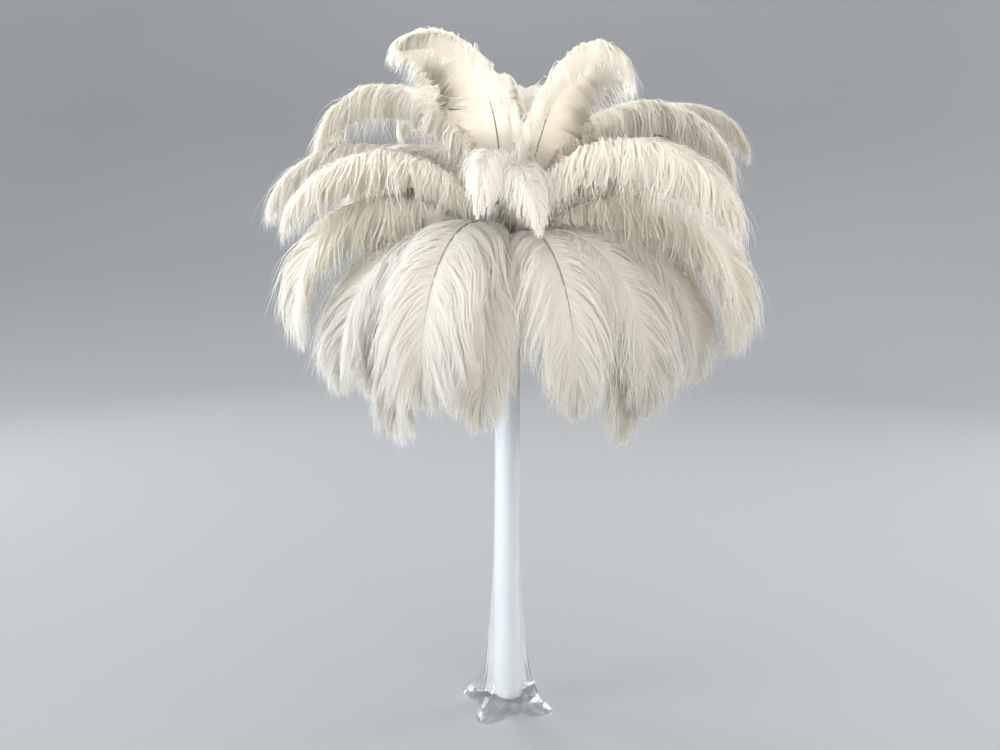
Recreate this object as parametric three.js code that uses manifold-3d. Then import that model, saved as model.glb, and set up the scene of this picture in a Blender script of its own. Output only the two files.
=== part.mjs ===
// White ostrich plumes standing in a tall cased-glass trumpet vase.
// Millimetres, +Z up. The origin is the centre of the vase's underside, and -Y is the front.
import * as THREE from "three";
import Module from "manifold-3d";

const wasm = await Module();
wasm.setup();

// ---- Driving dimensions of the vase
const SIDES = 24; // facets round the vase
const TOES = 4; // drawn-out toes of the foot
const FIRST_TOE = -29; // heading of the first toe, in degrees from +X
const TOE_REACH = 25; // how far a toe stands out past the foot between the toes
const TOE_SHARPNESS = 1.6;
const HEEL_LIFT = 4; // how far the rim rises off the table between two toes
const GROUND_DISC = 30; // radius of the flat centre of the underside
const LINER_WALL = 1.8;
const LINER_BASE = 4; // thickness of the white layer's floor
const LAYER_GAP = 0.3;

// The white layer's outer radius by height, from its closed floor up to the mouth.
const LINER_OUTSIDE = [
  [13, 27], [17, 30.4], [36, 29], [65, 26.9], [95, 24.8], [155, 21.2], [243, 17.4], [371, 16.1],
  [500, 16.1], [540, 18.2], [570, 24.4], [592, 32.8], [608.8, 43],
];

// The clear casing's outer radius by height, and the share of TOE_REACH that each height takes.
const CASING_OUTSIDE = [
  [7, 46, 1], [13, 42.5, 0.72], [22, 39.5, 0.4], [36, 35.5, 0.17], [52, 32, 0.05], [80, 28.9, 0],
  [125, 24.9, 0], [185, 20.3, 0], [243, 18.5, 0], [371, 17.2, 0], [500, 17.2, 0], [540, 19.4, 0],
  [570, 25.7, 0], [592, 34.2, 0], [609, 45.2, 0],
];
const CASING_RIM = [44.5, 0.96]; // underside's edge: its radius and its share of TOE_REACH

// ---- Driving dimensions of the plumes
const QUILL_END = 460; // height of the cut quill ends, down in the vase's neck
const QUILL_RADIUS = 1.5;
const RACHIS_TIP_RADIUS = 0.5;
const VANE_HALF_THICKNESS = 0.45;
const SPLAY_START = 70; // length of straight quill below the splay
const SPLAY_END = 230;
const VANE_START = 195; // length of bare quill
const QUILL_STATIONS = [0, 70, 140];
const VANE_STEPS = 9;
const PATH_STEP = 5;
const LOCK_DEPTH = 0.14; // every second station's barbs are this much shorter
const SHORTEST_BARB = 2.6;
const BARB_BEND = 0.42; // share of a barb's length before it bends
const BARB_RISE = 0.12; // how far the barbs lift off the face of the vane
const PLUME_GAP = 0.3; // least distance between two plumes
const QUILL_GAP = 0.4;
const SPREAD_PASSES = 200;
const COMB_PASSES = 120;
const COMB_STEP = 0.86; // what a crossing barb keeps of its length in each pass

// Each tier leans out of the mouth by lean and has turned to droop at its tip, both in degrees
// from upright. A bend under 1 turns over early. ring is the quill's distance from the vase's
// axis, barb the longest barb, and fall how far level barbs hang (0 to 1).
const TIERS = {
  crown: { ring: 2, lean: 6, droop: 120, bend: 2.8, length: 525, barb: 115, fall: 0.7 },
  upper: { ring: 5.4, lean: 8, droop: 165, bend: 1.8, length: 580, barb: 112, fall: 0.9 },
  middle: { ring: 8.8, lean: 22, droop: 153, bend: 1.2, length: 550, barb: 112, fall: 0.92 },
  shoulder: { ring: 8.8, lean: 37, droop: 190, bend: 1.05, length: 580, barb: 108, fall: 0.85 },
  lower: { ring: 12.2, lean: 40, droop: 186, bend: 0.6, length: 535, barb: 125, fall: 0.7 },
  under: { ring: 12.2, lean: 60, droop: 186, bend: 0.55, length: 480, barb: 95, fall: 0.7 },
};

// Every plume's tier, its heading in degrees from +X, and what sets it apart from its tier.
// sway turns its heading and roll turns its face, both in degrees.
const PLUMES = [
  ["crown", -124, { sway: -44, roll: 62, lean: 5, droop: 112, length: 515, barb: 118 }],
  ["crown", -36, { sway: -28, roll: -38, lean: 15, droop: 152, bend: 3.4, length: 530, fall: 0.68 }],
  ["crown", 95, { length: 485 }],
  ["upper", 174, { length: 565 }],
  ["upper", 8, { sway: -26, lean: 14, bend: 1.55, length: 585 }],
  ["upper", 22, { sway: -22, lean: 34, droop: 150, bend: 2.3, length: 585, barb: 98 }],
  ["upper", 80, {}],
  ["upper", 128, {}],
  ["middle", 172, { lean: 29, bend: 1.4, length: 545 }],
  ["middle", -160, { length: 515 }],
  ["middle", -97, { lean: 19, length: 505, barb: 66 }],
  ["middle", -88, { sway: 14, lean: 27, length: 505, barb: 70 }],
  ["middle", -38, { length: 560, barb: 122 }],
  ["middle", 8, {}],
  ["middle", 50, {}],
  ["middle", 95, {}],
  ["middle", 137, {}],
  ["shoulder", -165, { roll: -25, length: 535 }],
  ["shoulder", -16, { roll: 42, length: 570 }],
  ["shoulder", 72, {}],
  ["shoulder", 115, {}],
  ["lower", -150, { roll: -20, lean: 43, bend: 0.65, length: 500 }],
  ["under", -129, { length: 475 }],
  ["lower", -113, { roll: -14, lean: 35, bend: 0.68, length: 525, barb: 152 }],
  ["lower", -99, { roll: 10, lean: 45, bend: 0.5, length: 480, barb: 115 }],
  ["lower", -71, { roll: 16, length: 510, barb: 130 }],
  ["under", -51, {}],
  ["lower", -48, { roll: 24, length: 520, barb: 138 }],
  ["lower", -22, { roll: 28, bend: 0.7, length: 520, barb: 132 }],
  ["lower", 10, { lean: 36, length: 505 }],
  ["under", 30, {}],
  ["lower", 50, {}],
  ["lower", 90, {}],
  ["under", 110, {}],
  ["lower", 130, {}],
  ["under", 155, {}],
  ["lower", 175, { lean: 36, length: 505 }],
];

const { degToRad, radToDeg, lerp, smoothstep } = THREE.MathUtils;
const DOWN = new THREE.Vector3(0, 0, -1);

// ---- Materials
const plumeWhite = new THREE.MeshStandardMaterial({ color: 0xf4f0e6, roughness: 0.9, metalness: 0 });
const opalWhite = new THREE.MeshStandardMaterial({ color: 0xe9edf1, roughness: 0.15, metalness: 0 });
const clearGlass = new THREE.MeshStandardMaterial({
  color: 0xf2f7f7, roughness: 0.03, metalness: 0, transparent: true, opacity: 0.35,
});

function meshOf(name, points, faces, material) {
  const geometry = new THREE.BufferGeometry();
  const flat = points.flatMap((v) => [v.x, v.y, v.z]);
  geometry.setAttribute("position", new THREE.Float32BufferAttribute(flat, 3));
  geometry.setIndex(faces);
  const mesh = new THREE.Mesh(geometry, material);
  mesh.name = name;
  return mesh;
}

// The side faces between rings of equally many points, each ring counter-clockwise about the way
// on. Each is split from its first point to the next ring, or from its second where splitsSecond.
function bands(ringCount, size, splitsSecond = () => false) {
  const faces = [];
  for (let i = 0; i + 1 < ringCount; i++) {
    for (let k = 0; k < size; k++) {
      const a = i * size + k;
      const b = i * size + ((k + 1) % size);
      if (splitsSecond(k)) faces.push(a, b, a + size, b, b + size, a + size);
      else faces.push(a, b, b + size, a, b + size, a + size);
    }
  }
  return faces;
}

// ---- Vase

// How much of a toe there is at this heading: 1 on a toe, 0 between two.
function toe(heading) {
  return ((1 + Math.cos(TOES * (heading - degToRad(FIRST_TOE)))) / 2) ** TOE_SHARPNESS;
}

// A ring of the vase. Radius and height may be numbers or functions of the heading.
function vaseRing(radius, height) {
  return Array.from({ length: SIDES }, (_, k) => {
    const heading = (2 * Math.PI * k) / SIDES + degToRad(FIRST_TOE);
    const r = typeof radius === "function" ? radius(heading) : radius;
    const z = typeof height === "function" ? height(heading) : height;
    return new THREE.Vector3(r * Math.cos(heading), r * Math.sin(heading), z);
  });
}

// A closed vessel wall, from the middle of its underside up the outside and down the inside.
function vessel(name, rings, material) {
  const points = rings.flat();
  const faces = bands(rings.length, SIDES);
  const underside = points.push(new THREE.Vector3(0, 0, rings[0][0].z)) - 1;
  const inside = points.push(new THREE.Vector3(0, 0, rings.at(-1)[0].z)) - 1;
  const last = (rings.length - 1) * SIDES;
  for (let k = 0; k < SIDES; k++) {
    const next = (k + 1) % SIDES;
    faces.push(underside, next, k);
    faces.push(last + k, last + next, inside);
  }
  return meshOf(name, points, faces, material);
}

function makeLiner() {
  const outside = LINER_OUTSIDE.map(([z, r]) => vaseRing(r, z));
  const floor = LINER_OUTSIDE[0][0] + LINER_BASE;
  const inside = LINER_OUTSIDE.filter(([z]) => z > floor).reverse();
  const walls = inside.map(([z, r]) => vaseRing(r - LINER_WALL, z));
  return vessel("vase_white_liner", [...outside, ...walls, vaseRing(26.5, floor)], opalWhite);
}

function makeCasing() {
  const [rimRadius, rimShare] = CASING_RIM;
  const rim = vaseRing(
    (heading) => rimRadius + rimShare * TOE_REACH * toe(heading),
    (heading) => HEEL_LIFT * (1 - smoothstep(toe(heading), 0, 0.5)),
  );
  const outside = CASING_OUTSIDE.map(([z, r, share]) =>
    vaseRing((heading) => r + share * TOE_REACH * toe(heading), z),
  );
  const pocket = [...LINER_OUTSIDE].reverse().map(([z, r], i, all) => {
    const isFloor = i === all.length - 1;
    return vaseRing(r + LAYER_GAP, isFloor ? z - LAYER_GAP : z);
  });
  return vessel("vase_clear_casing", [vaseRing(GROUND_DISC, 0), rim, ...outside, ...pocket], clearGlass);
}

// ---- Plumes

// The shaft's line: points with the way on (along), the way out of its upper face (up) and across.
function shaftOf(plume) {
  const stations = [];
  const start = degToRad(plume.slot);
  const point = new THREE.Vector3(plume.ring * Math.cos(start), plume.ring * Math.sin(start), QUILL_END);
  for (let s = 0; s <= plume.length; s += PATH_STEP) {
    const free = Math.max(0, (s - VANE_START) / (plume.length - VANE_START));
    const splay = plume.lean * smoothstep(s, SPLAY_START, SPLAY_END);
    const tilt = degToRad(splay + (plume.droop - plume.lean) * free ** plume.bend * Math.sign(free));
    const heading = degToRad(plume.heading + plume.sway * free ** 2);
    const out = new THREE.Vector3(Math.cos(heading), Math.sin(heading), 0);
    const along = out.clone().multiplyScalar(Math.sin(tilt)).setZ(Math.cos(tilt));
    const up = out.clone().multiplyScalar(-Math.cos(tilt)).setZ(Math.sin(tilt));
    up.applyAxisAngle(along, degToRad(plume.roll) * free);
    stations.push({ s, free, point: point.clone(), along, up, across: along.clone().cross(up) });
    point.addScaledVector(along, PATH_STEP);
  }
  return stations;
}

// How long the barbs are along the vane, as a share of the longest: a narrow start, a full
// middle and a rounded tip.
function barbShare(free) {
  const filled = lerp(0.06, 1, smoothstep(free, 0, 0.45));
  const rounded = 1 - 0.82 * Math.max(0, (free - 0.62) / 0.38) ** 2;
  return filled * rounded;
}

// One barb as a quadratic curve of three points. It leaves the shaft sideways and onwards, and
// its outer half hangs.
function barbOf(plume, station, side, length) {
  const { point, along, up, across, free } = station;
  const swept = degToRad(lerp(66, 26, free));
  const first = along.clone().multiplyScalar(Math.cos(swept));
  first.addScaledVector(across, side * Math.sin(swept)).addScaledVector(up, BARB_RISE).normalize();
  const hang = plume.fall * lerp(0.4, 1, Math.hypot(along.x, along.y));
  const second = first.clone().multiplyScalar(1 - hang).addScaledVector(DOWN, hang).normalize();
  const bend = point.clone().addScaledVector(first, length * BARB_BEND);
  return [point, bend, bend.clone().addScaledVector(second, length * (1 - BARB_BEND))];
}

function quadratic([a, b, c], u) {
  const v = 1 - u;
  return a.clone().multiplyScalar(v * v).addScaledVector(b, 2 * u * v).addScaledVector(c, u * u);
}

// The bare quill's octagon, from the left edge over the upper face.
function quillRing({ point, up, across }, radius) {
  return Array.from({ length: 8 }, (_, k) => {
    const turn = (Math.PI * k) / 4;
    const ring = point.clone().addScaledVector(across, -radius * Math.cos(turn));
    return ring.addScaledVector(up, radius * Math.sin(turn));
  });
}

// The vane's section: left edge, left middle, shaft, right middle and right edge, and back below.
function vaneRing(station, barbs, grow) {
  const half = lerp(QUILL_RADIUS, RACHIS_TIP_RADIUS, station.free) + grow;
  const [left, right] = barbs.map((barb, i) => {
    const [root, , tip] = barb;
    const middle = quadratic(barb, 0.5);
    const chord = tip.clone().sub(root);
    const lift = chord.clone().cross(station.along).multiplyScalar(i ? 1 : -1).normalize();
    lift.multiplyScalar(VANE_HALF_THICKNESS + grow);
    return { edge: tip.clone().addScaledVector(chord.normalize(), grow), middle, lift };
  });
  return [
    left.edge,
    left.middle.clone().add(left.lift),
    station.point.clone().addScaledVector(station.up, half),
    right.middle.clone().add(right.lift),
    right.edge,
    right.middle.clone().sub(right.lift),
    station.point.clone().addScaledVector(station.up, -half),
    left.middle.clone().sub(left.lift),
  ];
}

// The left and right barb at every station of the vane, with what combing has left of them.
function barbsOf(plume) {
  return plume.vane.map((station, i) =>
    [-1, 1].map((side, j) => {
      const notch = i % 2 ? 1 - LOCK_DEPTH : 1;
      const length = plume.barb * barbShare(station.free) * notch * plume.kept[i][j];
      return barbOf(plume, station, side, Math.max(length, SHORTEST_BARB));
    }),
  );
}

function makePlume(plume, grow = 0) {
  const barbs = barbsOf(plume);
  const rings = plume.quill.map((station) => quillRing(station, QUILL_RADIUS + grow));
  rings.push(...plume.vane.map((station, i) => vaneRing(station, barbs[i], grow)));
  const size = rings[0].length;
  // Upper and lower faces are split the same way, from the inner point on to the outer one, so
  // that the thin vane can't pass through itself where it twists.
  const faces = bands(rings.length, size, (k) => k % 4 < 2);
  const last = (rings.length - 1) * size;
  for (let k = 0; k < size / 2; k++) {
    // Each end is closed by strips laid across it, from the upper points to the lower ones.
    const low = (size - k) % size;
    const nextLow = size - k - 1;
    if (k > 0) faces.push(k, low, nextLow, last + k, last + nextLow, last + low);
    if (k + 1 < size / 2) faces.push(k, nextLow, k + 1, last + k, last + k + 1, last + nextLow);
  }
  return meshOf(plume.name, rings.flat(), faces, plumeWhite);
}

// ---- Combing: where two plumes would cross, the one crossed nearer its barb tips gives way

function solidOf({ geometry }) {
  const vertProperties = geometry.attributes.position.array;
  const triVerts = new Uint32Array(geometry.index.array);
  return new wasm.Manifold(new wasm.Mesh({ numProp: 3, vertProperties, triVerts }));
}

// The barb that passes nearest to a place, and how far the place is from the shaft along it.
// Barbs that are as short as they may be don't count.
function nearestBarb(plume, place) {
  let nearest = { inward: 0, distance: Infinity };
  barbsOf(plume).forEach((pair, station) => {
    pair.forEach((barb, side) => {
      const length = barb[0].distanceTo(barb[1]) / BARB_BEND;
      if (length < SHORTEST_BARB * 1.01) return;
      for (let u = 0; u <= 1; u += 0.1) {
        const distance = quadratic(barb, u).distanceTo(place);
        if (distance < nearest.distance) {
          nearest = { plume, station, side, inward: u * length, distance };
        }
      }
    });
  });
  return nearest;
}

function middleOf(solid) {
  const { vertProperties, numProp } = solid.getMesh();
  const middle = new THREE.Vector3();
  for (let i = 0; i < vertProperties.length; i += numProp) {
    middle.add(new THREE.Vector3().fromArray(vertProperties, i));
  }
  return middle.divideScalar(vertProperties.length / numProp);
}

function comb(plumes) {
  const grown = (plume) => solidOf(makePlume(plume, PLUME_GAP / 2));
  const solids = plumes.map(grown);
  for (let pass = 0; pass < COMB_PASSES; pass++) {
    const crossed = [];
    for (let i = 0; i < plumes.length; i++) {
      for (let j = i + 1; j < plumes.length; j++) {
        for (const piece of solids[i].intersect(solids[j]).decompose()) {
          const place = middleOf(piece);
          const pair = [nearestBarb(plumes[i], place), nearestBarb(plumes[j], place)];
          crossed.push(pair[0].inward > pair[1].inward ? pair[0] : pair[1]);
        }
      }
    }
    if (crossed.length === 0) return;
    for (const { plume, station, side } of crossed) plume.kept[station][side] *= COMB_STEP;
    for (const plume of new Set(crossed.map((barb) => barb.plume))) {
      solids[plumes.indexOf(plume)] = grown(plume);
    }
  }
}

// ---- Where every plume stands

// Gives the quills that share a ring their places: as near their headings as their width allows.
function placeQuills(sharing) {
  const least = 2 * radToDeg(Math.asin((QUILL_RADIUS + QUILL_GAP / 2) / sharing[0].ring));
  sharing.sort((a, b) => a.heading - b.heading);
  for (const plume of sharing) plume.slot = plume.heading;
  for (let pass = 0; pass < SPREAD_PASSES; pass++) {
    sharing.forEach((plume, i) => {
      const next = sharing[(i + 1) % sharing.length];
      const lap = i + 1 === sharing.length ? 360 : 0;
      const push = Math.max(0, least - (next.slot + lap - plume.slot)) / 2;
      plume.slot -= push;
      next.slot += push;
    });
  }
}

function planPlumes() {
  const counts = {};
  const plumes = PLUMES.map(([tier, heading, own]) => {
    counts[tier] = (counts[tier] ?? 0) + 1;
    const name = `plume_${tier}_${String(counts[tier]).padStart(2, "0")}`;
    return { name, heading, sway: 0, roll: 0, ...TIERS[tier], ...own };
  });
  for (const ring of new Set(plumes.map((plume) => plume.ring))) {
    placeQuills(plumes.filter((plume) => plume.ring === ring));
  }
  for (const plume of plumes) {
    const shaft = shaftOf(plume);
    const at = (s) => shaft[Math.round(s / PATH_STEP)];
    plume.quill = QUILL_STATIONS.map(at);
    plume.vane = Array.from({ length: VANE_STEPS + 1 }, (_, i) =>
      at(lerp(VANE_START, plume.length, i / VANE_STEPS)),
    );
    plume.kept = plume.vane.map(() => [1, 1]);
  }
  return plumes;
}

const plumes = planPlumes();
comb(plumes);

const bouquet = new THREE.Group();
bouquet.add(makeCasing(), makeLiner(), ...plumes.map((plume) => makePlume(plume)));

export default bouquet;
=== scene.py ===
"""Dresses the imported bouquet: soft barbs on every ostrich plume, and the cased glass of its vase.

Lengths are in millimetres and angles in degrees until a mesh is made, which is in metres.
+Z is up, the origin is the centre of the vase's underside and -Y is the front.
"""

import math

import bpy
import numpy as np
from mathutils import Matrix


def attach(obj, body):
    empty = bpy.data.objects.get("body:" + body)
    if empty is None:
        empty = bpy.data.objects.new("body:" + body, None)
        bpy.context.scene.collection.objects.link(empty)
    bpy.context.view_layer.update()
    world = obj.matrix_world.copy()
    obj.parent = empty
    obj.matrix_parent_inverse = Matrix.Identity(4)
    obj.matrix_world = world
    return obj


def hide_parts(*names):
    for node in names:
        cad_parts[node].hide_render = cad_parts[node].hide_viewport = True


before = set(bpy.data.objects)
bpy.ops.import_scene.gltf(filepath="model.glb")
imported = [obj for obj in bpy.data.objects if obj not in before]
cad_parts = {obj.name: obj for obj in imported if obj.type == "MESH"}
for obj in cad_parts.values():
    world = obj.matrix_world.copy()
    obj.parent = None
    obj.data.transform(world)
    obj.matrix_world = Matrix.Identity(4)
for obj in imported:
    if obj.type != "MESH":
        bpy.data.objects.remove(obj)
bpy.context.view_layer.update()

MM = 0.001
DOWN = np.array([0.0, 0.0, -1.0])

# ---- Shafts: the same lines as the solids have
QUILL_END = 460  # height of the cut quill ends, down in the vase's neck
QUILL_RADIUS = 1.5
RACHIS_TIP_RADIUS = 0.5
QUILL_GAP = 0.4
SPLAY_START = 70  # length of straight quill below the splay
SPLAY_END = 230
VANE_START = 195  # length of bare quill
PATH_STEP = 5
SPREAD_PASSES = 200

# Each tier leans out of the mouth by lean and has turned to droop at its tip. A bend under 1
# turns over early. ring is the quill's distance from the vase's axis, barb the longest barb,
# and fall how far level barbs hang (0 to 1). fullness lengthens the tier's barbs, and loft lifts
# them off the face of the vane.
TIERS = {
    "crown": dict(ring=2, lean=6, droop=120, bend=2.8,
                  length=525, barb=115, fall=0.7, fullness=1.04, loft=-0.4),
    "upper": dict(ring=5.4, lean=8, droop=165, bend=1.8,
                  length=580, barb=112, fall=0.9, fullness=1.25, loft=1.2),
    "middle": dict(ring=8.8, lean=22, droop=153, bend=1.2,
                   length=550, barb=112, fall=0.92, fullness=1.25, loft=1.2),
    "shoulder": dict(ring=8.8, lean=37, droop=190, bend=1.05,
                     length=580, barb=108, fall=0.85, fullness=1.25, loft=1.2),
    "lower": dict(ring=12.2, lean=40, droop=186, bend=0.6,
                  length=535, barb=125, fall=0.7, fullness=1.1, loft=1.2),
    "under": dict(ring=12.2, lean=60, droop=186, bend=0.55,
                  length=480, barb=95, fall=0.7, fullness=1.1, loft=1.2),
}

# Barbs of these tiers get a darker copy of the plume colours: painted shade, standing in for the shade
# that the plumes above throw on them.
SHADED_TIERS = ("lower", "under")  # the tiers whose barbs are all a little darker

# What every plume has unless it says otherwise. sway turns its heading and roll its face on the
# way to the tip. start and tip are its barbs' shares of full length at the two ends of the vane,
# and taper is how far along the vane they begin to shorten. steep is the share of its fall that
# barbs keep where the shaft is upright, on the left and on the right as seen from outside the
# bouquet. wild is how far its locks and its fine hairs stray.
PLAIN = dict(sway=0, roll=0, start=0.4, tip=0.34, taper=0.6, steep=(0.55, 0.55), wild=1.0)

# Every plume's tier, its heading from +X, and what sets it apart from its tier.
PLUMES = [
    ("crown", -124, dict(sway=-44, roll=62, lean=5, droop=112, length=515, barb=118, fall=0.78,
                         start=0.55, steep=(0.42, 0.75), wild=0.8)),
    ("crown", -36, dict(sway=-28, roll=-38, lean=15, droop=152, bend=3.4, length=530, fall=0.76,
                        start=0.6, steep=(0.72, 0.5), wild=0.8)),
    ("crown", 95, dict(length=485, barb=86, fall=0.95, wild=0.5)),
    ("upper", 174, dict(length=565)),
    ("upper", 8, dict(sway=-26, lean=14, bend=1.55, length=585)),
    ("upper", 22, dict(sway=-22, lean=34, droop=150, bend=2.3, length=585, barb=98)),
    ("upper", 80, {}),
    ("upper", 128, dict(tip=0.12, taper=0.3, wild=1.3)),
    ("middle", 172, dict(lean=29, bend=1.4, length=545)),
    ("middle", -160, dict(length=515)),
    # The next two plumes also get the darker barbs, as painted shade that tones down how brightly the
    # lamps light them.
    ("middle", -97, dict(lean=19, length=505, barb=66, fall=0.95, tip=0.15, taper=0.35, wild=1.6,
                         shaded=True)),
    ("middle", -88, dict(sway=14, lean=27, length=505, barb=70, fall=0.95, tip=0.15, taper=0.35,
                         wild=1.6, shaded=True)),
    ("middle", -38, dict(length=560, barb=122)),
    ("middle", 8, {}),
    ("middle", 50, {}),
    ("middle", 95, {}),
    ("middle", 137, {}),
    ("shoulder", -165, dict(roll=-25, length=535)),
    ("shoulder", -16, dict(roll=42, length=570)),
    ("shoulder", 72, {}),
    ("shoulder", 115, {}),
    ("lower", -150, dict(roll=-20, lean=43, bend=0.65, length=500, tip=0.15, taper=0.4)),
    ("under", -129, dict(length=475)),
    ("lower", -113, dict(roll=-14, lean=35, bend=0.68, length=525, barb=152, tip=0.15, taper=0.4)),
    ("lower", -99, dict(roll=10, lean=45, bend=0.5, length=480, barb=115, tip=0.18, taper=0.4)),
    ("lower", -71, dict(roll=16, length=510, barb=130, tip=0.12, taper=0.3)),
    ("under", -51, {}),
    ("lower", -48, dict(roll=24, length=520, barb=138, tip=0.12, taper=0.32)),
    ("lower", -22, dict(roll=28, bend=0.7, length=520, barb=132, tip=0.15, taper=0.4)),
    ("lower", 10, dict(lean=36, length=505)),
    ("under", 30, {}),
    ("lower", 50, {}),
    ("lower", 90, {}),
    ("under", 110, {}),
    ("lower", 130, {}),
    ("under", 155, {}),
    ("lower", 175, dict(lean=36, length=505)),
]

# The plumes whose shafts are of dark horn
DARK_SHAFTS = ("plume_crown_01", "plume_crown_02", "plume_upper_02", "plume_upper_05",
               "plume_middle_02", "plume_lower_02", "plume_lower_04", "plume_lower_09")

# ---- Barbs
BARB_SWEEP = (76, 40)  # the angle between shaft and barb, at the vane's start and at its tip
BARB_TURN = 50  # how far a barb turns to lie along the shaft
LEAST_TURNED = 0.12  # the least share of its first angle that a barb ends at
GATHER_START = 0.82  # how far along the vane the last barbs begin to close in on the shaft's line
TIP_GATHER = 0.7  # how far they have closed in at the tip
FULL_FROM = 0.32  # how far along the vane the barbs have reached their full length
BARB_BEND = 0.4  # share of a barb's length before it bends
BARB_RISE = 0.24  # how far the barbs lift off the face of the vane
BARB_ROOT = (0.7, 0.2)  # how far out and down a barb starts, as shares of the shaft's radius
MOST_HANG = 0.97  # a barb that hangs as far as this points nearly straight down
SHORTEST_BARB = 6

# Barbs grow in locks. A pair is a least and a greatest value.
LOCK_WIDTHS = (5, 13)  # length of shaft that one lock grows from
LOCK_SPREAD = dict(fan=3.0, rise=0.05, droop=0.035)  # how far locks differ from one another
LOCK_REACH = (0.95, 1.12)  # length of a lock's barbs beside that of others
LOCK_HOLD = 0.32  # how far a lock's barbs have drawn together at their tips
LOOSE_HOLD = 0.15  # how far the loose ones have
LOOSE_SHARE = 0.09  # share of the barbs that are loose, times wild
HOLD_RANGE = (0.8, 1.1)  # what each barb's hold is multiplied by
DRAWN_FROM = 0.45  # share of its length from which on a barb is drawn

# How far a single barb strays from its lock.
STRAY = dict(fan=6.5, rise=0.09, droop=0.07, phase=1.1, loft=2.4, curl=0.9, twist=32)
REACH_STRAY = (0.42, 0.02)  # how much shorter and how much longer it may be
WAVE_STRAY = (0.8, 0.4)  # how much shallower and how much deeper its waves may be

SHEET_ROWS = 72  # the sheet of down that closes each half of a vane, behind its barbs
SHEET_STEPS = 6
SHEET_ENDS = (3, 1)  # what the sheet leaves free at the vane's start and at its tip
SHEET_REACH = (0.5, 0.66)  # least and greatest share of the barbs' length that the down has
SHEET_SINK = 0.02  # how much less than the barbs it lifts off the face of the vane
SHEET_FAN = 2
SHEET_RUFFLE = 0.6
FLUES = 90  # broad, downy barbs on each side of a shaft
FLUE_WIDTH = 3.4
FLUE_REACH = 0.95  # the flues' length beside the hairs'
FLUE_CROWN = 0.3  # how far a flue's middle stands over its edges
FLUE_TILT = 0.16  # how far its edges' shading turns outwards
FLUE_TAPER = 1.7  # a low power narrows a barb early, a high one late
FLUE_WILD = 0.3
FLUE_STEPS = 7
HAIRS = 770  # fine barbs on each side of a shaft
HAIR_WIDTH = 0.92
HAIR_TAPER = 2.4
HAIR_STEPS = 7
ROOT_FLARE = (-0.12, 0.14)  # the shares of its length between which a barb's width opens
TIP_WIDTH = 0.06  # share of a barb's width that is left at its tip
ROOT_TWIST = 0.3  # share of its twist that a barb has at its root
TWIST_SHADING = 0.35  # how much of the twist its shading shows
LOFTED_BY = 0.6  # share of its length by which a barb has reached its loft
WAVE_DEPTH = 0.046  # of a barb's length, at its tip
WAVE_TURNS = 1.35
CURL_DEPTH = 0.09  # how far a barb's tip curls in under the vane, as a share of its length
SHAFT_SIDES = 8

# The plume's map: the vane runs along it from 0 to VANE_MAP with the shaft's line in its middle,
# and the shaft has the strip from SHAFT_STRIP on.
VANE_MAP = 0.91
SHAFT_STRIP = 0.93
MAP_MIDDLE = 0.5
MAP_HALF = 0.49
MAP_ROOT = 0.01  # how far out of the middle a barb's root lies, as a share of MAP_HALF

FIRST_SEED = 1000  # the first plume's, from which the others count on


def smoothstep(x, low, high):
    t = np.clip((x - low) / (high - low), 0, 1)
    return t * t * (3 - 2 * t)


def lerp(a, b, t):
    return a + (b - a) * t


def unit(vectors):
    return vectors / np.linalg.norm(vectors, axis=-1, keepdims=True)


def mesh_piece(name, points, faces, uv, materials, face_materials=None, normals=None):
    """A smooth mesh object in metres, with its map. points, uv and normals go by vertex."""
    mesh = bpy.data.meshes.new(name)
    mesh.from_pydata((points * MM).tolist(), [], faces.tolist())
    layer = mesh.uv_layers.new(name="OFBake")
    layer.data.foreach_set("uv", uv[faces.ravel()].ravel())
    mesh.polygons.foreach_set("use_smooth", np.ones(len(faces), bool))
    for material in materials:
        mesh.materials.append(material)
    if face_materials is not None:
        mesh.polygons.foreach_set("material_index", face_materials)
    mesh.update()
    if normals is not None:
        mesh.normals_split_custom_set_from_vertices(unit(normals).tolist())
    piece = bpy.data.objects.new(name, mesh)
    bpy.context.scene.collection.objects.link(piece)
    return piece


def sheet_faces(sheets, steps, across, closed=False):
    """The quads of equal sheets, each of steps rows of across points."""
    columns = np.arange(across if closed else across - 1)
    a = np.arange(sheets)[:, None, None] * steps * across
    a = a + np.arange(steps - 1)[None, :, None] * across
    first = a + columns
    second = a + (columns + 1) % across
    return np.stack([first, second, second + across, first + across], axis=-1).reshape(-1, 4)


# ---- Plumes

def plan_plumes():
    """Every plume with its name, its tier's values and its own."""
    counts = {}
    plumes = []
    for tier, heading, own in PLUMES:
        counts[tier] = counts.get(tier, 0) + 1
        name = f"plume_{tier}_{counts[tier]:02d}"
        plumes.append({"name": name, "heading": heading, "shaded": tier in SHADED_TIERS,
                       **PLAIN, **TIERS[tier], **own})
    for ring in {plume["ring"] for plume in plumes}:
        place_quills([plume for plume in plumes if plume["ring"] == ring])
    return plumes


def place_quills(sharing):
    """Gives the quills that share a ring their places, as near their headings as they fit."""
    least = 2 * math.degrees(math.asin((QUILL_RADIUS + QUILL_GAP / 2) / sharing[0]["ring"]))
    sharing.sort(key=lambda plume: plume["heading"])
    for plume in sharing:
        plume["slot"] = plume["heading"]
    for _ in range(SPREAD_PASSES):
        for i, plume in enumerate(sharing):
            following = sharing[(i + 1) % len(sharing)]
            lap = 360 if i + 1 == len(sharing) else 0
            push = max(0, least - (following["slot"] + lap - plume["slot"])) / 2
            plume["slot"] -= push
            following["slot"] += push


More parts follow.
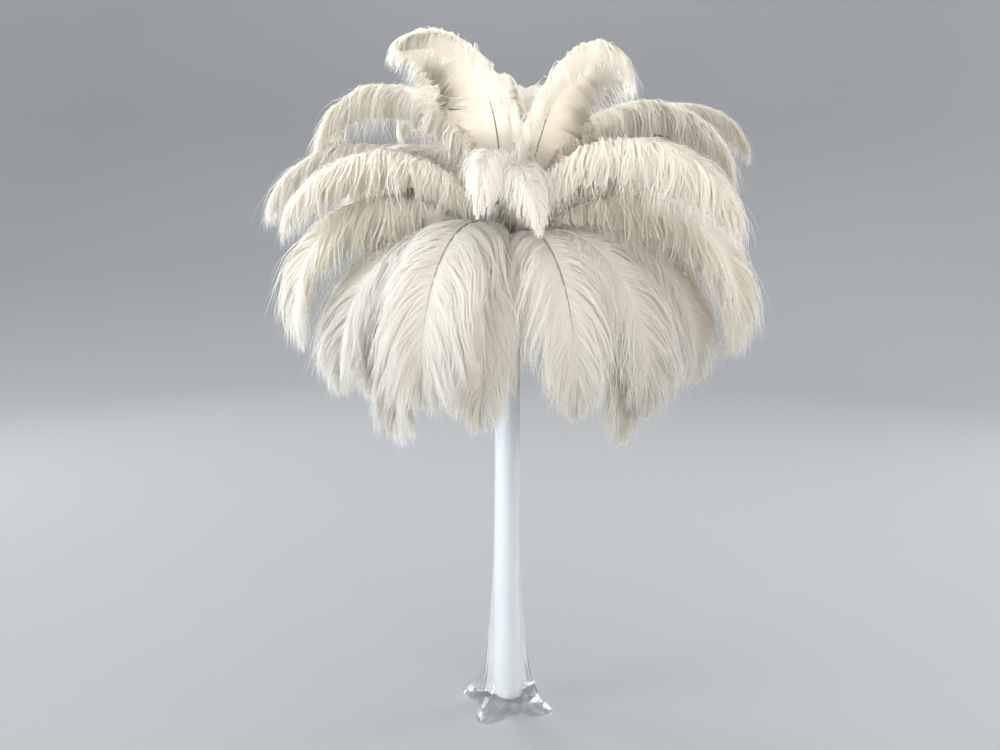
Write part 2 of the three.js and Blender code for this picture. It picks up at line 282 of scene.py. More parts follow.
def shaft_of(plume):
    """The shaft's line: points with the way on (along), out of its upper face (up) and across."""
    s = np.arange(0, plume["length"] + 0.1, PATH_STEP)
    free = np.clip((s - VANE_START) / (plume["length"] - VANE_START), 0, 1)
    splay = plume["lean"] * smoothstep(s, SPLAY_START, SPLAY_END)
    tilt = np.radians(splay + (plume["droop"] - plume["lean"]) * free ** plume["bend"])
    heading = np.radians(plume["heading"] + plume["sway"] * free**2)
    out = np.stack([np.cos(heading), np.sin(heading), 0 * heading], axis=-1)
    upright = np.array([0.0, 0.0, 1.0])
    along = out * np.sin(tilt)[:, None] + upright * np.cos(tilt)[:, None]
    up = -out * np.cos(tilt)[:, None] + upright * np.sin(tilt)[:, None]
    roll = np.radians(plume["roll"]) * free[:, None]
    up = up * np.cos(roll) + np.cross(along, up) * np.sin(roll)
    slot = math.radians(plume["slot"])
    start = np.array([plume["ring"] * math.cos(slot), plume["ring"] * math.sin(slot), QUILL_END])
    steps = np.vstack([np.zeros(3), along[:-1] * PATH_STEP])
    return {"s": s, "point": start + np.cumsum(steps, axis=0), "along": along, "up": up,
            "across": np.cross(along, up)}


def on_shaft(shaft, s):
    """The shaft's point and directions at each of the lengths s."""
    return {
        key: np.stack([np.interp(s, shaft["s"], shaft[key][:, axis]) for axis in range(3)], axis=-1)
        for key in ("point", "along", "up", "across")
    }


def barb_share(free, plume):
    """The barbs' length along the vane, as a share of the longest."""
    filled = lerp(plume["start"], 1, smoothstep(free, 0, FULL_FROM))
    shortened = np.clip((free - plume["taper"]) / (1 - plume["taper"]), 0, 1) ** 2
    rounded = 1 - (1 - plume["tip"]) * shortened
    return filled * rounded


def barb_paths(plume, shaft, barbs, steps):
    """Barbs as curves of steps points: their points, the way on, along the vane and off its face."""
    at = on_shaft(shaft, barbs["s"])
    side = barbs["side"][:, None]
    free = (barbs["s"] - VANE_START) / (plume["length"] - VANE_START)
    gathered = 1 - TIP_GATHER * smoothstep(free, GATHER_START, 1)
    swept = np.radians(lerp(*BARB_SWEEP, free) * gathered + barbs["fan"] * gathered)[:, None]
    first = at["along"] * np.cos(swept) + at["across"] * side * np.sin(swept)
    first = unit(first + at["up"] * (BARB_RISE + barbs["rise"])[:, None])
    turned = np.maximum(swept - math.radians(BARB_TURN), swept * LEAST_TURNED)
    outer = at["along"] * np.cos(turned) + at["across"] * side * np.sin(turned)
    level = np.hypot(at["along"][:, 0], at["along"][:, 1])
    steep = np.where(barbs["side"] > 0, *plume["steep"])
    hang = np.clip(plume["fall"] * lerp(steep, 1, level) + barbs["droop"], 0, MOST_HANG)[:, None]
    second = unit(outer * (1 - hang) + DOWN * hang)
    longest = plume["barb"] * plume["fullness"]
    length = np.maximum(longest * barb_share(free, plume) * barbs["reach"], SHORTEST_BARB)[:, None]
    half = lerp(QUILL_RADIUS, RACHIS_TIP_RADIUS, free)[:, None]
    out, under = BARB_ROOT
    root = at["point"] + at["across"] * side * half * out - at["up"] * half * under
    bend = root + first * length * BARB_BEND
    tip = bend + second * length * (1 - BARB_BEND)
    u = np.linspace(0, 1, steps)[None, :, None]
    curve = root[:, None] * (1 - u) ** 2 + bend[:, None] * 2 * u * (1 - u) + tip[:, None] * u**2
    onward = unit((bend - root)[:, None] * (1 - u) + (tip - bend)[:, None] * u)
    inward = at["along"] * np.sin(swept) - at["across"] * side * np.cos(swept)
    ended = at["along"] * np.sin(turned) - at["across"] * side * np.cos(turned)
    vane = lerp(inward[:, None], ended[:, None], u)
    vane = unit(vane - onward * np.sum(vane * onward, -1, keepdims=True))
    face = np.cross(onward, vane) * side[:, None]
    return {"points": curve, "onward": onward, "vane": vane, "face": face, "length": length}


def grow_locks(plume, rng):
    """The places on the shaft where locks of barbs end, and what each lock's barbs share."""
    ends = [VANE_START]
    while ends[-1] < plume["length"]:
        ends.append(ends[-1] + rng.uniform(*LOCK_WIDTHS))
    ends = np.array(ends)
    count = len(ends) - 1
    return {
        "ends": ends,
        "s": np.minimum((ends[1:] + ends[:-1]) / 2, plume["length"]),
        "fan": rng.normal(0, LOCK_SPREAD["fan"] * plume["wild"], count),
        "rise": rng.normal(0, LOCK_SPREAD["rise"], count),
        "droop": rng.normal(0, LOCK_SPREAD["droop"] * plume["wild"], count),
        "reach": rng.uniform(*LOCK_REACH, count),
        "phase": rng.uniform(0, 2 * math.pi, count),
    }


def grow_barbs(plume, locks, rng, side, count, reach, wild):
    """count barbs on one side of the shaft. wild is how far each strays from its lock."""
    s = lerp(VANE_START, plume["length"], (np.arange(count) + rng.random(count)) / count)
    lock = np.clip(np.searchsorted(locks["ends"], s) - 1, 0, len(locks["s"]) - 1)

    def around_one(stray):
        return rng.uniform(1 - stray[0] * wild, 1 + stray[1] * wild, count)

    return {
        "s": s,
        "side": np.full(count, float(side)),
        "lock": lock,
        "fan": locks["fan"][lock] + rng.normal(0, STRAY["fan"] * wild, count),
        "rise": locks["rise"][lock] + rng.normal(0, STRAY["rise"] * wild, count),
        "droop": locks["droop"][lock] + rng.normal(0, STRAY["droop"] * wild, count),
        "reach": reach * locks["reach"][lock] * around_one(REACH_STRAY),
        "phase": locks["phase"][lock] + rng.normal(0, STRAY["phase"] * wild, count),
        "loft": rng.normal(plume["loft"], STRAY["loft"] * wild, count),
        "curl": rng.normal(1.0, STRAY["curl"] * wild, count),
        "waved": around_one(WAVE_STRAY),
        "twist": np.radians(rng.normal(0, STRAY["twist"] * wild, count)),
        "hold": np.where(rng.random(count) < LOOSE_SHARE * wild, LOOSE_HOLD, LOCK_HOLD)
        * rng.uniform(*HOLD_RANGE, count),
    }


def comb_into_locks(plume, shaft, locks, barbs, steps):
    """The barbs' paths, with their outer halves drawn to the middle of their lock, and waved."""
    paths = barb_paths(plume, shaft, barbs, steps)
    guides = {**locks, "side": np.full(len(locks["s"]), barbs["side"][0])}
    middle = barb_paths(plume, shaft, guides, steps)["points"][barbs["lock"]]
    u = np.linspace(0, 1, steps)[None, :, None]
    drawn = barbs["hold"][:, None, None] * smoothstep(u, DRAWN_FROM, 1.0)
    points = lerp(paths["points"], middle, drawn)
    wave = WAVE_DEPTH * barbs["waved"][:, None, None] * paths["length"][:, None] * u
    wave = wave * np.sin(barbs["phase"][:, None, None] + WAVE_TURNS * 2 * math.pi * u)
    curl = CURL_DEPTH * barbs["curl"][:, None, None] * paths["length"][:, None] * u**3
    off = barbs["loft"][:, None, None] * smoothstep(u, 0, LOFTED_BY) + wave - curl
    paths["points"] = points + paths["vane"] * wave + paths["face"] * off
    return paths


def barb_ribbons(plume, paths, barbs, width, taper, crown=0):
    """Tapered ribbons along the paths, with a raised middle line where there is a crown."""
    steps = paths["points"].shape[1]
    u = np.linspace(0, 1, steps)[None, :, None]
    twist = barbs["twist"][:, None, None] * lerp(ROOT_TWIST, 1, u)
    edge = paths["vane"] * np.cos(twist) + paths["face"] * np.sin(twist)
    over = paths["face"] * np.cos(twist) - paths["vane"] * np.sin(twist)
    shape = smoothstep(u, *ROOT_FLARE) * (1 - u**taper) + TIP_WIDTH
    half = edge * shape * width / 2
    rows = [paths["points"] - half, paths["points"] + half]
    if crown:
        rows.insert(1, paths["points"] + over * crown * shape)
    points = np.stack(rows, axis=2)
    soft = paths["face"] + paths["vane"] * np.sin(twist) * TWIST_SHADING
    tilts = np.linspace(-FLUE_TILT, FLUE_TILT, len(rows)) if crown else np.zeros(len(rows))
    normals = np.stack([soft + paths["vane"] * tilt for tilt in tilts], axis=2)
    vane_length = plume["length"] - VANE_START
    offsets = np.linspace(-0.5, 0.5, len(rows)) * width / vane_length
    x = ((barbs["s"] - VANE_START) / vane_length)[:, None, None] + offsets * shape
    x = np.clip(x, 0, 1) * VANE_MAP
    y = MAP_MIDDLE + barbs["side"][:, None, None] * MAP_HALF * lerp(MAP_ROOT, 1, u) + 0 * x
    uv = np.stack([x, y], axis=-1)
    faces = sheet_faces(len(points), steps, len(rows))
    if barbs["side"][0] > 0:
        faces = faces[:, ::-1]
    return points.reshape(-1, 3), faces, uv.reshape(-1, 2), normals.reshape(-1, 3)


def down_sheet(plume, shaft, rng, side):
    """The soft sheet of short down that closes one half of the vane. Its edge is ragged."""
    s = np.linspace(VANE_START + SHEET_ENDS[0], plume["length"] - SHEET_ENDS[1], SHEET_ROWS)
    none = np.zeros(SHEET_ROWS)
    barbs = {
        "s": s,
        "side": none + side,
        "fan": rng.normal(0, SHEET_FAN, SHEET_ROWS),
        "rise": none - SHEET_SINK,
        "droop": none,
        "reach": rng.uniform(*SHEET_REACH, SHEET_ROWS),
    }
    paths = barb_paths(plume, shaft, barbs, SHEET_STEPS)
    u = np.linspace(0, 1, SHEET_STEPS)
    curl = CURL_DEPTH * paths["length"][:, None] * u[:, None] ** 3
    ruffle = rng.normal(0, SHEET_RUFFLE, (SHEET_ROWS, SHEET_STEPS, 1))
    points = paths["points"] + paths["face"] * (ruffle - curl)
    x = (s - VANE_START)[:, None] / (plume["length"] - VANE_START) * VANE_MAP
    y = MAP_MIDDLE + side * MAP_HALF * lerp(MAP_ROOT, 1, u * barbs["reach"][:, None])
    uv = np.stack([x + 0 * y, y], axis=-1)
    faces = sheet_faces(1, SHEET_ROWS, SHEET_STEPS)
    if side < 0:
        faces = faces[:, ::-1]
    return points.reshape(-1, 3), faces, uv.reshape(-1, 2), paths["face"].reshape(-1, 3)


def shaft_tube(plume, shaft):
    """The quill and rachis as one round, tapered tube, open at both ends."""
    shaft = {key: values[::2] for key, values in shaft.items()}
    s = shaft["s"]
    free = np.clip((s - VANE_START) / (plume["length"] - VANE_START), 0, 1)
    radius = lerp(QUILL_RADIUS, RACHIS_TIP_RADIUS, free)[:, None, None]
    turn = np.linspace(0, 2 * math.pi, SHAFT_SIDES, endpoint=False)[None, :, None]
    ring = shaft["across"][:, None] * np.cos(turn) + shaft["up"][:, None] * np.sin(turn)
    points = (shaft["point"][:, None] + ring * radius).reshape(-1, 3)
    faces = sheet_faces(1, len(s), SHAFT_SIDES, closed=True)[:, ::-1]
    x = lerp(SHAFT_STRIP, 1.0, (turn / (2 * math.pi)) + 0 * radius)
    y = (s / plume["length"])[:, None, None] + 0 * turn
    uv = np.concatenate([x, y], axis=-1).reshape(-1, 2)
    return points, faces, uv, (ring + 0 * radius).reshape(-1, 3)


def make_plume(plume, seed, materials):
    """One plume: its shaft, its sheets of down, its broad flues and its fine hairs, in one mesh."""
    rng = np.random.default_rng(seed)
    shaft = shaft_of(plume)
    barb_slot, horn_slot = 0, 1
    parts = [(*shaft_tube(plume, shaft), horn_slot)]
    for side in (-1, 1):
        parts.append((*down_sheet(plume, shaft, rng, side), barb_slot))
        locks = grow_locks(plume, rng)
        flues = grow_barbs(plume, locks, rng, side, FLUES, FLUE_REACH, FLUE_WILD)
        paths = comb_into_locks(plume, shaft, locks, flues, FLUE_STEPS)
        ribbons = barb_ribbons(plume, paths, flues, FLUE_WIDTH, FLUE_TAPER, FLUE_CROWN)
        parts.append((*ribbons, barb_slot))
        hairs = grow_barbs(plume, locks, rng, side, HAIRS, 1.0, plume["wild"])
        paths = comb_into_locks(plume, shaft, locks, hairs, HAIR_STEPS)
        ribbons = barb_ribbons(plume, paths, hairs, HAIR_WIDTH, HAIR_TAPER)
        parts.append((*ribbons, barb_slot))
    starts = np.cumsum([0] + [len(part[0]) for part in parts])
    faces = np.vstack([part[1] + start for part, start in zip(parts, starts)])
    kinds = np.concatenate([np.full(len(part[1]), part[4]) for part in parts])
    points, uv, normals = (np.vstack([part[i] for part in parts]) for i in (0, 2, 3))
    piece = mesh_piece(plume["name"] + "_barbs", points, faces, uv, materials, kinds, normals)
    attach(piece, "root")
    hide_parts(plume["name"])


# ---- Vase
GLASS_SIDES = 88
TOES = 4
FIRST_TOE = -29
TOE_REACH = 25
TOE_SHARPNESS = 1.6
RIBS = 17  # the drawn-out ribs that run up from the foot and fade out at RIB_TOP
RIB_DEPTH = 0.7
RIB_TOP = 120
HEEL_LIFT = 4  # how far the rim rises off the table between two toes
LINER_WALL = 1.8
LINER_BOTTOM = 13  # height of the white layer's underside
LINER_FLOOR = 17  # height of the floor inside it
FLOOR_RADIUS = 15.2
PINHOLE = 0.4  # radius at which the skins of glass end at the axis
FUSED = 0.35  # how far the white layer's skin reaches into the clear glass, as fused glass does
RING_STEP = 12  # greatest height between two rings of the glass

# The white layer's outer radius by height, from its closed floor up to the mouth. The thick clear
# glass around it enlarges it to the eye, so it is narrower near the floor than it looks.
LINER_OUTSIDE = [
    (13, 11), (14, 15), (17, 17.6), (36, 18.6), (65, 18.3), (95, 17.8), (155, 16.8), (243, 16.4),
    (371, 16.1), (500, 16.1), (540, 18.2), (570, 24.4), (592, 32.8), (608.8, 43),
]
# The clear casing's outer radius by height, and the share of TOE_REACH that each height takes.
CASING_OUTSIDE = [
    (7, 46, 1), (13, 42.5, 0.72), (22, 39.5, 0.4), (36, 35.5, 0.17), (52, 32, 0.05),
    (80, 28.9, 0), (125, 24.9, 0), (185, 20.3, 0), (243, 18.5, 0), (371, 17.2, 0), (500, 17.2, 0),
    (540, 19.4, 0), (570, 25.7, 0), (592, 34.2, 0), (609, 45.2, 0),
]


def smooth_rows(rows, step):
    """The rows with more between them, on one smooth curve through all of them."""
    rows = np.array(rows, float)
    before = np.vstack([2 * rows[0] - rows[1], rows[:-2]])
    after = np.vstack([rows[2:], 2 * rows[-1] - rows[-2]])
    smoothed = [rows[0]]
    for i in range(len(rows) - 1):
        a, b = rows[i], rows[i + 1]
        span = b[0] - a[0]
        ahead = (b - before[i]) / (b[0] - before[i][0]) * span
        behind = (after[i] - a) / (after[i][0] - a[0]) * span
        for t in np.linspace(0, 1, max(2, math.ceil(abs(span) / step) + 1))[1:]:
            smoothed.append(
                (2 * t**3 - 3 * t**2 + 1) * a + (t**3 - 2 * t**2 + t) * ahead
                + (3 * t**2 - 2 * t**3) * b + (t**3 - t**2) * behind
            )
    return np.array(smoothed)


def lathe_piece(name, radius, height, materials):
    """A closed skin of rings, each from the axis outwards or inwards, all of GLASS_SIDES points."""
    heading = np.linspace(0, 2 * math.pi, GLASS_SIDES, endpoint=False) + math.radians(FIRST_TOE)
    points = np.stack([radius * np.cos(heading), radius * np.sin(heading), height], axis=-1)
    faces = sheet_faces(1, len(points), GLASS_SIDES, closed=True)
    x = np.linspace(0, 1, GLASS_SIDES) + 0 * radius
    y = np.linspace(0, 1, len(points))[:, None] + 0 * radius
    uv = np.stack([x, y], axis=-1)
    return mesh_piece(name, points.reshape(-1, 3), faces, uv.reshape(-1, 2), materials)


def toe_share():
    """How much of a toe there is at each heading: 1 on a toe, 0 between two."""
    heading = np.linspace(0, 2 * math.pi, GLASS_SIDES, endpoint=False)
    return ((1 + np.cos(TOES * heading)) / 2) ** TOE_SHARPNESS


def make_liner(material):
    outside = smooth_rows(LINER_OUTSIDE, RING_STEP)
    inside = outside[outside[:, 0] > LINER_FLOOR][::-1] - (0, LINER_WALL)
    rows = [(LINER_BOTTOM, PINHOLE), *[(z, r + FUSED) for z, r in outside], *inside,
            (LINER_FLOOR, FLOOR_RADIUS), (LINER_FLOOR, PINHOLE)]
    height, radius = np.array(rows).T[:, :, None] + np.zeros(GLASS_SIDES)
    liner = lathe_piece("white_glass_layer", radius, height, [material])
    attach(liner, "root")
    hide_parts("vase_white_liner")


def make_casing(material):
    """The clear glass, as rings of radius and height: out under the foot, up, and down the pocket."""
    toe = toe_share()
    lift = HEEL_LIFT * (1 - smoothstep(toe, 0, 0.5))
    under = [
        (PINHOLE + 0 * toe, 0 * toe),
        (30 + 0 * toe, 0 * toe),
        (38 + 15 * toe, lift * 0.5),
        (43 + 23 * toe, lift * 0.9 + 0.3),
        (45.4 + 25 * toe, lift + (6 - lift) * 0.35),
    ]
    turn = np.linspace(0, 2 * math.pi, GLASS_SIDES, endpoint=False)
    rib = RIB_DEPTH * np.cos(RIBS * turn + np.sin(3 * turn))
    outside = [(r + share * TOE_REACH * toe + rib * (1 - smoothstep(z, 20, RIB_TOP)), z + 0 * toe)
               for z, r, share in smooth_rows(CASING_OUTSIDE, RING_STEP)]
    pocket = [(r + 0 * toe, z + 0 * toe) for z, r in smooth_rows(LINER_OUTSIDE, RING_STEP * 2)[::-1]]
    bottom = [(PINHOLE + 0 * toe, LINER_BOTTOM + 0 * toe)]
    radius, height = np.array(under + outside + pocket + bottom).transpose(1, 0, 2)
    casing = lathe_piece("clear_glass_casing", radius, height, [material])
    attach(casing, "root")
    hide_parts("vase_clear_casing")


# ---- Materials

def new_material(name):
    material = bpy.data.materials.new(name)
    material.use_nodes = True
    material.node_tree.nodes.clear()
    return material, material.node_tree


def node(tree, kind, **values):
    """A node with its inputs set by name, or by number for those given as in_0, in_1 and so on."""
    made = tree.nodes.new(kind)
    for key, value in values.items():
        if key.startswith("in_"):
            made.inputs[int(key[3:])].default_value = value
        elif key in made.inputs:
            made.inputs[key].default_value = value
        else:
            setattr(made, key, value)
    return made


def finish_with(tree, shader):
    output = tree.nodes.new("ShaderNodeOutputMaterial")
    tree.links.new(shader, output.inputs["Surface"])


def barb_streaks_group():
    """Streaks that run out along the barbs, from the plume's map."""
    tree = bpy.data.node_groups.new("barb_streaks", "ShaderNodeTree")
    for name, socket in (("Map", "NodeSocketVector"), ("Strands", "NodeSocketFloat"),
                         ("Locks", "NodeSocketFloat")):
        tree.interface.new_socket(name=name, in_out="INPUT", socket_type=socket)
    for name in ("Strand Tone", "Lock Tone", "Height"):
        tree.interface.new_socket(name=name, in_out="OUTPUT", socket_type="NodeSocketFloat")
    inside = tree.nodes.new("NodeGroupInput")
    outside = tree.nodes.new("NodeGroupOutput")
    split = tree.nodes.new("ShaderNodeSeparateXYZ")
    tree.links.new(inside.outputs["Map"], split.inputs[0])
    for density, out_name, bend in (("Strands", "Strand Tone", 3.0), ("Locks", "Lock Tone", 1.6)):
        scaled = node(tree, "ShaderNodeMath", operation="MULTIPLY")
        tree.links.new(split.outputs["X"], scaled.inputs[0])
        tree.links.new(inside.outputs[density], scaled.inputs[1])
        out = node(tree, "ShaderNodeMath", operation="MULTIPLY", in_1=bend)
        tree.links.new(split.outputs["Y"], out.inputs[0])
        place = tree.nodes.new("ShaderNodeCombineXYZ")
        tree.links.new(scaled.outputs[0], place.inputs["X"])
        tree.links.new(out.outputs[0], place.inputs["Y"])
        noise = node(tree, "ShaderNodeTexNoise", Scale=1.0, Detail=2.0, Roughness=0.55)
        tree.links.new(place.outputs[0], noise.inputs["Vector"])
        tree.links.new(noise.outputs["Fac"], outside.inputs[out_name])
        if density == "Strands":
            tree.links.new(noise.outputs["Fac"], outside.inputs["Height"])
    return tree


def plume_material(name, streaks, down, shade):
    """Soft matt barbs: down is their lit colour and shade a painted shade colour, laid on in noisy
    streaks along the barbs and by lock.
    """
    material, tree = new_material(name)
    uv = node(tree, "ShaderNodeUVMap", uv_map="OFBake")
    group = node(tree, "ShaderNodeGroup", node_tree=streaks, Strands=360.0, Locks=40.0)
    tree.links.new(uv.outputs["UV"], group.inputs["Map"])
    strand = node(tree, "ShaderNodeMapRange", in_1=0.3, in_2=0.7, in_3=0.0, in_4=1.0)
    tree.links.new(group.outputs["Strand Tone"], strand.inputs[0])
    lock = node(tree, "ShaderNodeMapRange", in_1=0.3, in_2=0.7, in_3=0.0, in_4=1.0)
    tree.links.new(group.outputs["Lock Tone"], lock.inputs[0])
    both = node(tree, "ShaderNodeMath", operation="MULTIPLY_ADD", in_1=0.6, in_2=0.0)
    tree.links.new(strand.outputs[0], both.inputs[0])
    weighted = node(tree, "ShaderNodeMath", operation="MULTIPLY", in_1=0.4)
    tree.links.new(lock.outputs[0], weighted.inputs[0])
    tree.links.new(weighted.outputs[0], both.inputs[2])
    colour = node(tree, "ShaderNodeMix", data_type="RGBA", in_6=(*shade, 1), in_7=(*down, 1))
    tree.links.new(both.outputs[0], colour.inputs[0])
    bump = node(tree, "ShaderNodeBump", Strength=0.45, Distance=0.0006)
    tree.links.new(group.outputs["Height"], bump.inputs["Height"])
    shader = node(tree, "ShaderNodeBsdfPrincipled", Roughness=0.85)
    shader.inputs["Specular IOR Level"].default_value = 0.2
    shader.inputs["Sheen Weight"].default_value = 0.25
    shader.inputs["Sheen Roughness"].default_value = 0.5
    tree.links.new(colour.outputs[2], shader.inputs["Base Color"])
    tree.links.new(bump.outputs[0], shader.inputs["Normal"])
    through = tree.nodes.new("ShaderNodeBsdfTranslucent")
    tree.links.new(colour.outputs[2], through.inputs["Color"])
    mixed = node(tree, "ShaderNodeMixShader", Fac=0.5)
    tree.links.new(shader.outputs[0], mixed.inputs[1])
    tree.links.new(through.outputs[0], mixed.inputs[2])
    finish_with(tree, mixed.outputs[0])
    return material


def shaft_material(name, streaks, quill, rachis):
    """Horn: quill's colour at the bare end and rachis' along the vane, fading towards the tip."""
    material, tree = new_material(name)
    uv = node(tree, "ShaderNodeUVMap", uv_map="OFBake")
    group = node(tree, "ShaderNodeGroup", node_tree=streaks, Strands=90.0, Locks=30.0)
    tree.links.new(uv.outputs["UV"], group.inputs["Map"])
    split = tree.nodes.new("ShaderNodeSeparateXYZ")
    tree.links.new(uv.outputs["UV"], split.inputs[0])
    grown = node(tree, "ShaderNodeMapRange", in_1=0.28, in_2=0.45, in_3=0.0, in_4=1.0)
    tree.links.new(split.outputs["Y"], grown.inputs[0])
    colour = node(tree, "ShaderNodeMix", data_type="RGBA", in_6=(*quill, 1), in_7=(*rachis, 1))
    tree.links.new(grown.outputs[0], colour.inputs[0])
    toned = node(tree, "ShaderNodeMix", data_type="RGBA", blend_type="MULTIPLY", in_0=0.35)
    faded = node(tree, "ShaderNodeMapRange", in_1=0.74, in_2=0.94, in_3=0.0, in_4=1.0)
    tree.links.new(split.outputs["Y"], faded.inputs[0])
    tipped = node(tree, "ShaderNodeMix", data_type="RGBA", in_7=(0.86, 0.82, 0.74, 1))
    tree.links.new(faded.outputs[0], tipped.inputs[0])
    tree.links.new(colour.outputs[2], tipped.inputs[6])
    tree.links.new(tipped.outputs[2], toned.inputs[6])
    tree.links.new(group.outputs["Strand Tone"], toned.inputs[7])
    shader = node(tree, "ShaderNodeBsdfPrincipled", Roughness=0.45)
    tree.links.new(toned.outputs[2], shader.inputs["Base Color"])
    finish_with(tree, shader.outputs[0])
    return material


def glass_ripple_group():
    """The faint ripples of glass drawn out by hand."""
    tree = bpy.data.node_groups.new("glass_ripple", "ShaderNodeTree")
    for name in ("Scale", "Stretch"):
        tree.interface.new_socket(name=name, in_out="INPUT", socket_type="NodeSocketFloat")
    tree.interface.new_socket(name="Height", in_out="OUTPUT", socket_type="NodeSocketFloat")
    inside = tree.nodes.new("NodeGroupInput")
    outside = tree.nodes.new("NodeGroupOutput")
    place = tree.nodes.new("ShaderNodeTexCoord")
    split = tree.nodes.new("ShaderNodeSeparateXYZ")
    tree.links.new(place.outputs["Object"], split.inputs[0])
    slow = node(tree, "ShaderNodeMath", operation="MULTIPLY")
    tree.links.new(split.outputs["Z"], slow.inputs[0])
    tree.links.new(inside.outputs["Stretch"], slow.inputs[1])
    joined = tree.nodes.new("ShaderNodeCombineXYZ")
    tree.links.new(split.outputs["X"], joined.inputs["X"])
    tree.links.new(split.outputs["Y"], joined.inputs["Y"])
    tree.links.new(slow.outputs[0], joined.inputs["Z"])
    noise = node(tree, "ShaderNodeTexNoise", Detail=2.0, Roughness=0.5)
    tree.links.new(joined.outputs[0], noise.inputs["Vector"])
    tree.links.new(inside.outputs["Scale"], noise.inputs["Scale"])
    tree.links.new(noise.outputs["Fac"], outside.inputs["Height"])
    return tree


def opal_material(ripple):
    material, tree = new_material("opal_white_glass")
    group = node(tree, "ShaderNodeGroup", node_tree=ripple, Scale=70.0, Stretch=0.25)
    bump = node(tree, "ShaderNodeBump", Strength=0.12, Distance=0.001)
    tree.links.new(group.outputs["Height"], bump.inputs["Height"])
    colour = node(tree, "ShaderNodeMix", data_type="RGBA", in_6=(0.68, 0.70, 0.73, 1),
                  in_7=(0.76, 0.765, 0.77, 1))
    tree.links.new(group.outputs["Height"], colour.inputs[0])
    shader = node(tree, "ShaderNodeBsdfPrincipled", Roughness=0.12)
    tree.links.new(colour.outputs[2], shader.inputs["Base Color"])
    tree.links.new(bump.outputs[0], shader.inputs["Normal"])
    finish_with(tree, shader.outputs[0])
    return material


def clear_material(ripple):
    """Clear glass whose shadow is the pale one that glass throws."""
    material, tree = new_material("clear_casing_glass")
    group = node(tree, "ShaderNodeGroup", node_tree=ripple, Scale=110.0, Stretch=0.3)
    bump = node(tree, "ShaderNodeBump", Strength=0.16, Distance=0.001)
    tree.links.new(group.outputs["Height"], bump.inputs["Height"])
    glass = node(tree, "ShaderNodeBsdfPrincipled", Roughness=0.02, IOR=1.5)
    glass.inputs["Base Color"].default_value = (0.97, 0.985, 0.985, 1)
    glass.inputs["Transmission Weight"].default_value = 1.0
    tree.links.new(bump.outputs[0], glass.inputs["Normal"])
    passed = node(tree, "ShaderNodeBsdfTransparent", Color=(0.96, 0.975, 0.975, 1))
    thinned = node(tree, "ShaderNodeMixShader", Fac=0.25)
    tree.links.new(glass.outputs[0], thinned.inputs[1])
    tree.links.new(passed.outputs[0], thinned.inputs[2])
    path = tree.nodes.new("ShaderNodeLightPath")
    mixed = tree.nodes.new("ShaderNodeMixShader")
    tree.links.new(path.outputs["Is Shadow Ray"], mixed.inputs[0])
    tree.links.new(thinned.outputs[0], mixed.inputs[1])
    tree.links.new(passed.outputs[0], mixed.inputs[2])
    finish_with(tree, mixed.outputs[0])
    return material


def studio_material():
    material, tree = new_material("studio_paper")
    noise = node(tree, "ShaderNodeTexNoise", Scale=3.0, Detail=3.0)
    colour = node(tree, "ShaderNodeMix", data_type="RGBA", in_6=(0.35, 0.355, 0.36, 1),
                  in_7=(0.385, 0.39, 0.395, 1))
    tree.links.new(noise.outputs["Fac"], colour.inputs[0])
    shader = node(tree, "ShaderNodeBsdfPrincipled", Roughness=0.9)
    shader.inputs["Specular IOR Level"].default_value = 0.1
    tree.links.new(colour.outputs[2], shader.inputs["Base Color"])
    finish_with(tree, shader.outputs[0])
    return material


# ---- Studio
CAMERA_AT = (-0.0098, -1.35, 0.75)
CAMERA_PITCH = 11.55
LENS = 37.33
SWEEP_FLAT = 2300  # radius of the flat floor
SWEEP_CURVE = 900
SWEEP_HEIGHT = 2300
SWEEP_SIDES = 96


def make_sweep():
    """A round floor that curves up into a wall on every side."""
    curve = [math.radians(a) for a in range(0, 91, 9)]
    rows = [(2, 0), (SWEEP_FLAT / 2, 0)]
    rows += [(SWEEP_FLAT + SWEEP_CURVE * math.sin(a), SWEEP_CURVE * (1 - math.cos(a))) for a in curve]
    rows.append((SWEEP_FLAT + SWEEP_CURVE, SWEEP_HEIGHT))
    turn = np.linspace(0, 2 * math.pi, SWEEP_SIDES, endpoint=False)
    radius, height = np.array(rows).T[:, :, None] + 0 * turn
    points = np.stack([radius * np.cos(turn), radius * np.sin(turn), height], axis=-1)
    faces = sheet_faces(1, len(rows), SWEEP_SIDES, closed=True)
    uv = points[..., :2] / SWEEP_HEIGHT
    sweep = mesh_piece("studio_sweep", points.reshape(-1, 3), faces, uv.reshape(-1, 2),
                       [studio_material()])


def add_area_light(name, place, target, size, power, colour, spread=180):
    light = bpy.data.lights.new(name, "AREA")
    light.shape = "DISK"
    light.size = size
    light.energy = power
    light.color = colour
    light.spread = math.radians(spread)
    lamp = bpy.data.objects.new(name, light)
    lamp.location = place
    way = np.array(target) - np.array(place)
    flat = math.hypot(way[0], way[1])
    lamp.rotation_euler = (math.atan2(flat, -way[2]), 0, math.atan2(-way[0], way[1]))
    lamp.visible_camera = False
    bpy.context.scene.collection.objects.link(lamp)


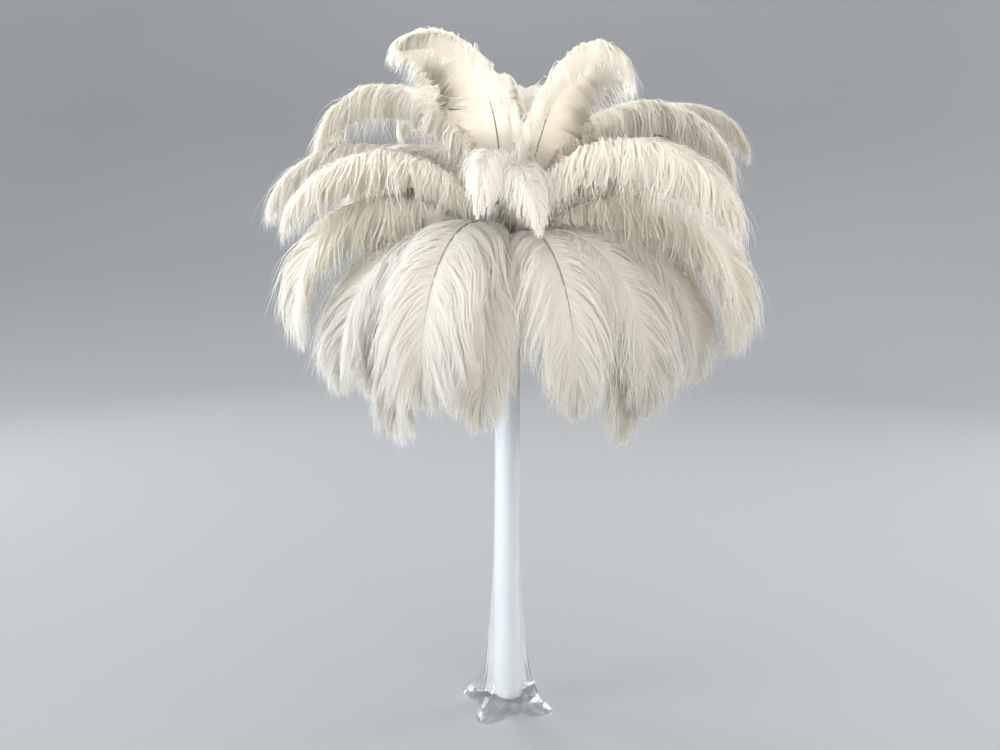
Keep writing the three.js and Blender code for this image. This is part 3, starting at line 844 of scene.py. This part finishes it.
def light_studio():
    add_area_light("key_light", (0.7, -2.1, 1.15), (0, 0, 0.7), 1.9, 22, (1.0, 0.98, 0.94))
    add_area_light("crown_light", (-0.15, -1.55, 0.58), (0, 0, 0.93), 0.45, 0.74, (1.0, 0.96, 0.88), 27)
    add_area_light("cool_fill", (-2.0, -0.7, 1.0), (0, 0, 0.78), 1.4, 7.2, (0.83, 0.92, 1.0), 60)
    add_area_light("back_light", (-0.9, 1.8, 1.9), (0, 0, 0.6), 1.0, 20, (1.0, 0.98, 0.95))
    add_area_light("left_rim", (-2.3, 0.9, 0.9), (0, 0, 0.4), 1.0, 20, (0.95, 0.98, 1.0))
    add_area_light("right_rim", (2.3, 0.9, 0.9), (0, 0, 0.4), 1.0, 20, (1.0, 0.99, 0.96))
    world = bpy.data.worlds.new("studio_air")
    world.use_nodes = True
    background = world.node_tree.nodes["Background"]
    background.inputs["Color"].default_value = (0.93, 0.96, 1.0, 1)
    background.inputs["Strength"].default_value = 1.38
    bpy.context.scene.world = world
    bpy.context.scene.view_settings.view_transform = "Standard"


def add_camera():
    lens = bpy.data.cameras.new("camera")
    lens.lens = LENS
    lens.sensor_width = 36
    camera = bpy.data.objects.new("camera", lens)
    camera.location = CAMERA_AT
    camera.rotation_euler = (math.radians(90 - CAMERA_PITCH), 0, 0)
    bpy.context.scene.collection.objects.link(camera)
    bpy.context.scene.camera = camera


add_camera()
light_studio()
make_sweep()

barb_streaks = barb_streaks_group()
glass_ripple = glass_ripple_group()
# plume_shaded is plume_white made darker: painted shade for the plumes that are given shaded barbs.
white_barbs = plume_material("plume_white", barb_streaks, (0.97, 0.945, 0.89), (0.92, 0.875, 0.79))
shaded_barbs = plume_material("plume_shaded", barb_streaks, (0.925, 0.90, 0.85), (0.82, 0.78, 0.71))
dark_horn = shaft_material("plume_dark_horn", barb_streaks, (0.62, 0.53, 0.36), (0.36, 0.29, 0.16))
pale_horn = shaft_material("plume_pale_horn", barb_streaks, (0.70, 0.62, 0.46), (0.78, 0.73, 0.62))
for number, plume in enumerate(plan_plumes()):
    horn = dark_horn if plume["name"] in DARK_SHAFTS else pale_horn
    barbs = shaded_barbs if plume["shaded"] else white_barbs
    make_plume(plume, FIRST_SEED + number, [barbs, horn])
make_liner(opal_material(glass_ripple))
make_casing(clear_material(glass_ripple))
